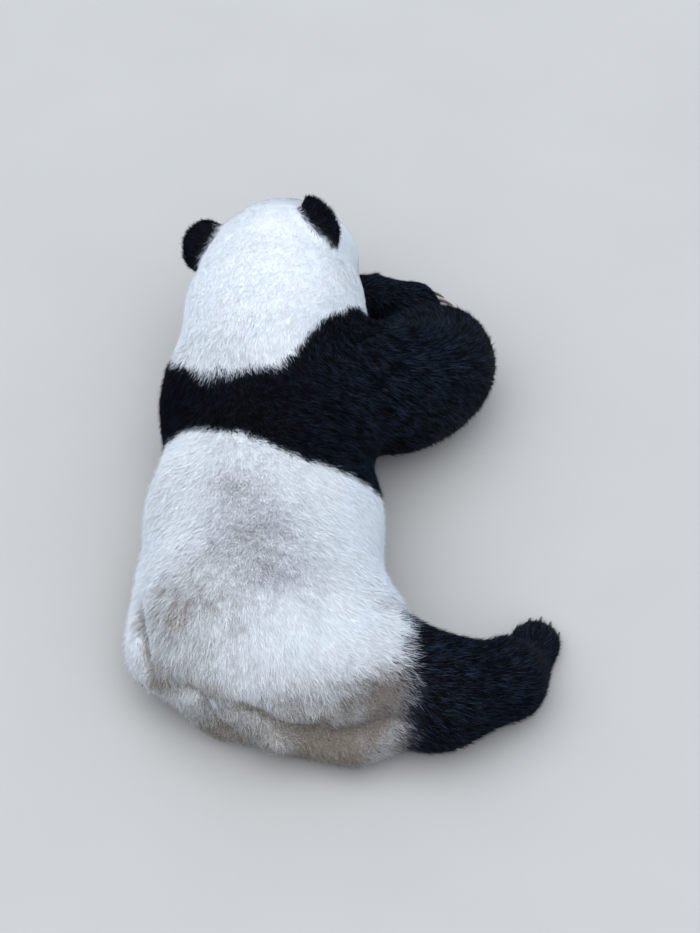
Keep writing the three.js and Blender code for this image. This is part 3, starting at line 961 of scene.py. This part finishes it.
def coat_black_finish():
    shader = Shader("coat_black", {"Roughness": 0.6, "Specular IOR Level": 0.05})
    # The roots are painted darker, as shade deep in the coat.
    dark_root_shade = shader.mix(shader.stored("along"), BLACK_ROOT_SHADE, WHITE)
    colour = shader.mix(1.0, black_hair(shader), dark_root_shade, "MULTIPLY")
    colour = shader.mix(shader.span(shader.stored("black"), 0.1, 0.95, 0.8, 0.0), colour, DARK_BORDER)
    gleam = shader.span(shader.stored("shade"), 0.5, 1.0, 0.0, 0.8)
    gleam = shader.times(gleam, shader.stored("gleam"))
    shader.colour(shader.mix(gleam, colour, SHEEN))
    return shader.material


def skin_finish():
    """What is seen of the hide between the tufts is the deep end of the coat, painted darker as shade. It is
    bare on lips and lids.
    """
    shader = Shader("skin", {"Roughness": 0.8, "Specular IOR Level": 0.1})
    deep_shade = shader.mix(1.0, white_hair(shader, shader.stored("soil")), DEEP_COAT_SHADE, "MULTIPLY")
    coat = shader.mix(shader.stored("black"), deep_shade, DARK_SKIN)
    shader.colour(shader.mix(shader.stored("bare"), coat, BARE_SKIN))
    shader.bump(shader.noise(300, 4, 0.7), 0.5, 1.5 * MM)
    return shader.material


def eye_finish():
    wet = {"Roughness": 0.12, "Specular IOR Level": 0.06, "Coat Weight": 0.14, "Coat Roughness": 0.05}
    shader = Shader("eye", wet)
    iris = shader.mix(shader.noise(500, 4), *IRIS)
    colour = shader.mix(shader.stored("iris"), EYE_RIM, iris)
    shader.colour(shader.mix(shader.stored("pupil"), colour, PUPIL))
    return shader.material


def nose_finish():
    damp = {"Roughness": 0.42, "Specular IOR Level": 0.15, "Coat Weight": 0.05, "Coat Roughness": 0.2}
    shader = Shader("nose", damp)
    leather = shader.mix(shader.noise(220, 4), *NOSE_LEATHER)
    # The nostrils are painted near black: painted shade in their depth.
    shader.colour(shader.mix(shader.stored("hole"), leather, NOSTRIL_SHADE))
    pebbles = shader.mix(0.35, shader.cells(700), shader.noise(900, 2))
    shader.bump(pebbles, 0.55, 0.7 * MM)
    return shader.material


def claw_finish():
    """Dark horn at the root, paler and worn towards the point."""
    shader = Shader("claw", {"Roughness": 0.35})
    base = shader.mix(shader.stored("along"), *HORN)
    shader.colour(shader.mix(shader.span(shader.noise(260, 5), 0.45, 0.75), base, HORN_STREAK))
    shader.bump(shader.noise(600, 3), 0.35, 0.4 * MM)
    return shader.material


# ---- Eyes, nose and claws ----
def eye_ball(side, word, material):
    """A smooth ball with a slight bulge over the iris, in the place of the solid one."""
    centre, axes = eye_frame(side)
    bm = bmesh.new()
    bmesh.ops.create_uvsphere(bm, u_segments=64, v_segments=48, radius=EYE_RADIUS)
    mesh = mesh_from(bm, "eyeball_" + word)
    points = points_of(mesh)
    off_axis = np.hypot(points[:, 0], points[:, 1])
    # A panda's pupil is an upright slit, as a cat's is.
    slit = np.hypot(points[:, 0] / (1.9 * MM), points[:, 1] / (4.2 * MM))
    front = points[:, 2] > 0
    store(mesh, "iris", np.where(front, smooth_step(8.2 * MM, 7.6 * MM, off_axis), 0))
    store(mesh, "pupil", np.where(front, smooth_step(1.15, 0.85, slit), 0))
    points[:, 2] += np.where(front, 0.9 * MM * smooth_step(7.5 * MM, 0, off_axis), 0)
    set_points(mesh, from_head(points @ axes + centre))
    if side > 0:
        mesh.flip_normals()
    mesh.shade_smooth()
    add_piece("eyeball_" + word, mesh, material, "eye", "eye_" + word)


def nose_pad(material):
    """The leathery nose, with two comma-shaped nostrils and a groove down its middle."""
    bm = bmesh.new()
    bmesh.ops.create_icosphere(bm, subdivisions=6, radius=1)
    mesh = mesh_from(bm, "nose_pad")
    ball = points_of(mesh)
    x, y, z = ball.T
    # Broad and flat above, narrowing below to the groove of the lip.
    wide = 27 - 11 * smooth_step(-0.05, -0.95, z)
    tall = np.where(z > 0, 14, 24)
    points = np.stack((x * wide, np.sign(y) * np.abs(y) ** 0.8 * 12 + 182.5, z * tall - 30), axis=1)
    points[:, 1] -= 4 * smooth_step(-0.1, -1.0, z)
    across = np.abs(points[:, 0])
    nostril = np.hypot((across - 12.5) / 6.0, (points[:, 2] + 33 - 0.28 * (across - 12.5)) / 3.6)
    slot_out = np.hypot((across - 19) / 5.5, (points[:, 2] + 36.5 - 0.7 * (across - 19)) / 2.0)
    hole = np.maximum(smooth_step(1.25, 0.55, nostril), 0.8 * smooth_step(1.3, 0.5, slot_out))
    groove = np.exp(-((across / 1.5) ** 2)) * smooth_step(-22, -34, points[:, 2])
    points[:, 1] -= np.where(y > 0, 7 * hole + 2 * groove, 0)
    store(mesh, "hole", np.where(y > 0, smooth_step(0.1, 0.6, hole), 0))
    set_points(mesh, from_head(points * MM))
    mesh.shade_smooth()
    add_piece("nose_pad", mesh, material, "nose", "nose")


# Half height and half width of a claw at its root, and how far it starts inside the paw.
CLAW_HIGH = 4.6 * MM
CLAW_WIDE = 3.0 * MM
CLAW_SUNK = 12 * MM
HIND_CLAW_SHOWN = 0.7
CLAW_RINGS = 14
CLAW_SIDES = 16


def curved_claw(name, material):
    """A smooth hooked claw in the place of the solid one: it arches over and thins to a blunt point."""
    paw_middle = middle(name.rsplit("_", 1)[0].removeprefix("claw_"))
    solid = points_of(nodes[name].data)
    away = np.linalg.norm(solid[:, :2] - paw_middle[:2], axis=1)
    tip = solid[np.argmax(away)]
    root = solid[away < away.min() + 4 * MM].mean(axis=0)
    ahead = unit(tip - root)
    root = root - ahead * CLAW_SUNK
    reach = np.linalg.norm(tip - root) * (HIND_CLAW_SHOWN if "hindpaw" in name else 1)
    aside = unit(np.cross(ahead, (0, 0, 1)))
    above = np.cross(aside, ahead)
    rings = []
    for ring in range(CLAW_RINGS):
        t = ring / (CLAW_RINGS - 1)
        slim = math.sqrt(max(1 - t**1.7, 0.004))
        arch = 4.2 * MM * math.sin(math.pi * t)
        centre = root + ahead * (reach * t) + above * arch
        for side in range(CLAW_SIDES):
            angle = 2 * math.pi * side / CLAW_SIDES
            out = aside * (math.cos(angle) * CLAW_WIDE) + above * (math.sin(angle) * CLAW_HIGH)
            rings.append(centre + out * slim)
    faces = []
    for first in range(0, (CLAW_RINGS - 1) * CLAW_SIDES, CLAW_SIDES):
        for side in range(CLAW_SIDES):
            here = first + side
            beside = first + (side + 1) % CLAW_SIDES
            faces.append((here, beside, beside + CLAW_SIDES, here + CLAW_SIDES))
    faces.append(tuple(range(CLAW_SIDES))[::-1])
    faces.append(tuple(range(len(rings) - CLAW_SIDES, len(rings))))
    mesh = bpy.data.meshes.new("horn_" + name)
    mesh.from_pydata([tuple(p) for p in rings], [], faces)
    store(mesh, "along", np.repeat(np.arange(CLAW_RINGS) / (CLAW_RINGS - 1), CLAW_SIDES))
    mesh.shade_smooth()
    add_piece("horn_" + name, mesh, material, "claw", name)


# ---- Build ----
# Between these two the hair of the nape loosens. Dark lips and lids reach this far from their lines.
NAPE_FRONT = 340 * MM
NAPE_REAR = 140 * MM
LIP_EDGE = (3.4 * MM, 2.0 * MM)
GROOVE_EDGE = (2.2 * MM, 1.0 * MM)
LID_EDGE = (2.6 * MM, 1.4 * MM)
# The black hair's sheen grows from this x to that, over the back.
SHEEN_SPAN = (-200 * MM, 140 * MM)


def build_skin():
    """The skin, with the values on it from which its own colours and the coat are made."""
    mesh = make_skin()
    bare, lips, groove = sculpt_face(mesh)
    points, normals = points_of(mesh), normals_of(mesh)
    owners = node_of_points(points)
    net = Net(mesh)
    on_face, on_muzzle = face_shares(points, owners)
    on_ear = is_part(owners, "ear")

    black = net.smoothed(black_share(points, owners), 3)
    black = np.maximum(black, eye_patch(points))
    dark_lip = np.maximum(smooth_step(*LIP_EDGE, lips), smooth_step(*GROOVE_EDGE, groove))
    lid_edge = smooth_step(*LID_EDGE, bare)
    soil, warm = dust_and_shade_share(points)
    folds = np.clip(stored(mesh, "coat_fold") / (18 * MM), 0, 1)
    on_head = net.smoothed(is_part(owners, "head"), 12)
    # The hair lies sleek on the head and loosens towards the end of the nape.
    sleek = net.smoothed(is_part(owners, "head", "neck"), 12)
    sleek *= 1 - 0.75 * smooth_step(NAPE_FRONT, NAPE_REAR, points[:, 1])
    # Less dust lies on the sleek head and nape. A little even grey on the head is painted shade that tones
    # down its stronger light, and the folds get dust and painted shade.
    soil = np.maximum(soil * (1 - 0.9 * sleek) + 0.05 * on_head, 0.85 * folds)

    length = net.smoothed(by_part(owners, 2), 12) * MM
    length = length * (1 - 0.45 * on_face) * (1 - 0.45 * on_muzzle)
    near_eye = smooth_step(2.0 * MM, 26 * MM, bare)
    length = np.where(np.isfinite(bare), np.minimum(length, 3.5 * MM + 9 * MM * near_eye), length)
    length *= np.where(np.max([lid_edge, dark_lip, nose_bed(points)], axis=0) > 0.5, 0, 1)
    width = net.smoothed(by_part(owners, 3), 8) * MM * (1 - 0.3 * on_face) * (1 - 0.15 * on_muzzle)
    depth = coat_depth(points, owners, net)
    depth = np.where(np.isfinite(bare), np.minimum(depth, 1.2 * MM + 3 * MM * near_eye), depth)
    # The short hair of the head and nape lies flatter than the coat is deep, and so does the hair in a fold.
    depth *= (1 - 0.4 * sleek) * (1 - 0.45 * on_face) * (1 - 0.45 * folds)
    length *= 1 - 0.3 * folds
    # Clean white hair lies smooth, and dusty hair stands in small curly clumps.
    curl = 0.45 + 0.75 * np.clip(1.4 * soil, 0, 1) * (1 - black) + 0.2 * black
    curl *= 1 - 0.55 * sleek
    loose = np.maximum(0.8 * on_ear, 0.3 * is_part(owners, "hindpaw"))
    for node, shares, reach, amount in FRINGES:
        near = nearness(points, place_in(node, shares), reach * MM)
        loose = np.maximum(loose, amount * near)
        length *= 1 + 0.4 * amount * near
    loose = net.smoothed(loose, 2)
    underside = smooth_step(-0.55, -0.9, normals[:, 2]) * smooth_step(0.05, 0.02, points[:, 2])
    density = (17 * MM / np.maximum(length, 6 * MM)) * (1.9 * MM / width) * (1 - 0.9 * underside)
    density = np.clip(density, 0.0, 4.5)

    way = lie_of(points, on_head, on_ear)
    way = unit(way - np.sum(way * normals, axis=1, keepdims=True) * normals)
    way = unit(net.smoothed(way, 3))

    # The black hair of the shoulder and the legs has a blue sheen, which fades out over the back.
    on_legs = net.smoothed(is_part(owners, "foreleg", "forepaw", "hindleg", "hindpaw"), 30)
    gleam = 0.3 + 0.65 * np.maximum(on_legs * (points[:, 0] < 0), smooth_step(*SHEEN_SPAN, points[:, 0]))
    store(mesh, "bare", np.maximum(dark_lip, lid_edge))
    markings = {"black": black, "soil": soil, "warm": warm}
    hair = {"length": length, "width": width, "depth": depth, "curl": curl, "loose": loose}
    for name, column in markings.items():
        store(mesh, name, column)
    for name, column in (markings | hair | {"gleam": gleam, "density": density}).items():
        store(mesh, "coat_" + name, column)
    for n, axis in enumerate("xyz"):
        store(mesh, "coat_n" + axis, normals[:, n])
        store(mesh, "coat_d" + axis, way[:, n])
    return mesh, owners


REGIONS = {
    "head": ("head", "ear"),
    "neck": ("neck",),
    "trunk": ("trunk", "tail"),
    "forelegs": ("foreleg", "forepaw"),
    "hindlegs": ("hindleg", "hindpaw"),
}
TUFTS_PER_SQUARE_METRE = 170000


def build():
    skin_mesh, owners = build_skin()
    skin_mesh.shade_smooth()
    first_corner = read_whole(skin_mesh.polygons, "loop_start")
    face_owner = owners[read_whole(skin_mesh.loops, "vertex_index")[first_corner]]
    tree = tree_of(skin_mesh)
    finishes = {True: ("black", coat_black_finish()), False: ("white", coat_white_finish())}
    for seed, (word, kinds) in enumerate(REGIONS.items()):
        here = np.array([name.startswith(kinds) for name in FLESH])[face_owner]
        region = Region(skin_mesh, np.nonzero(here)[0])
        points, facing, value, uv = plant(region, tree, TUFTS_PER_SQUARE_METRE, 1000 * (seed + 1))
        for is_black, (shade, material) in finishes.items():
            chosen = np.nonzero(value["is_black"] == is_black)[0]
            layers = math.ceil(len(chosen) / PIECE_TUFTS)
            for layer in range(layers):
                part = chosen[layer::layers]
                few = {name: column[part] for name, column in value.items()}
                name = f"coat_{word}_{shade}_{layer + 1}"
                tuft_piece(name, points[part], facing[part], few, uv[part], material, "coat_" + shade)
    for layer in [a.name for a in skin_mesh.attributes if a.name.startswith("coat_")]:
        skin_mesh.attributes.remove(skin_mesh.attributes[layer])
    add_piece("skin", skin_mesh, skin_finish(), "coat_white", *FLESH)

    eye = eye_finish()
    for side, word in ((-1, "left"), (1, "right")):
        eye_ball(side, word, eye)
    nose_pad(nose_finish())
    claw = claw_finish()
    for name in sorted(nodes):
        if name.startswith("claw"):
            curved_claw(name, claw)


build()


# ---- Floor, light and camera ----
FLOOR_HALF = 12.0
FLOOR_GREY = rgb(174, 172, 168), rgb(180, 178, 175)
SKY = rgb(222, 236, 255)
SKY_STRENGTH = 0.95
# The camera looks at this place on the floor, at this angle downwards and from this far away.
AIM = (0.0101, 0.1309, 0)
ELEVATION = math.radians(47.5)
DISTANCE = 6.8
VIEW_ANGLE = math.radians(15.62)


def floor():
    mesh = bpy.data.meshes.new("floor")
    corners = [(x * FLOOR_HALF, y * FLOOR_HALF, 0) for x, y in ((-1, -1), (1, -1), (1, 1), (-1, 1))]
    mesh.from_pydata(corners, [], [(0, 1, 2, 3)])
    shader = Shader("floor", {"Roughness": 0.9})
    shader.colour(shader.mix(shader.noise(3), *FLOOR_GREY))
    mesh.materials.append(shader.material)
    add_object("floor", mesh)


def lamp(name, towards, spread, strength):
    """A soft light from far away: it comes from a wide patch of sky in the given direction."""
    data = bpy.data.lights.new(name, "SUN")
    data.angle = math.radians(spread)
    data.energy = strength
    made = add_object(name, data)
    made.location = towards
    made.rotation_euler = Vector(towards).to_track_quat("Z", "Y").to_euler()


def camera():
    """Stands behind the animal and looks down on its back."""
    data = bpy.data.cameras.new("camera")
    data.sensor_fit = "AUTO"
    data.angle = VIEW_ANGLE
    made = add_object("camera", data)
    back = Vector((0, -math.cos(ELEVATION), math.sin(ELEVATION)))
    made.location = Vector(AIM) + back * DISTANCE
    made.rotation_euler = (-back).to_track_quat("-Z", "Y").to_euler()
    bpy.context.scene.camera = made


floor()
lamp("overhead", (-0.6, -0.7, 3.0), 80, 2.1)
lamp("rear_fill", (1.2, -3.4, 2.8), 60, 0.45)
camera()
world = bpy.data.worlds.new("studio")
world.use_nodes = True
sky = world.node_tree.nodes["Background"]
sky.inputs["Color"].default_value = SKY
sky.inputs["Strength"].default_value = SKY_STRENGTH
bpy.context.scene.world = world
bpy.context.scene.view_settings.view_transform = "Standard"
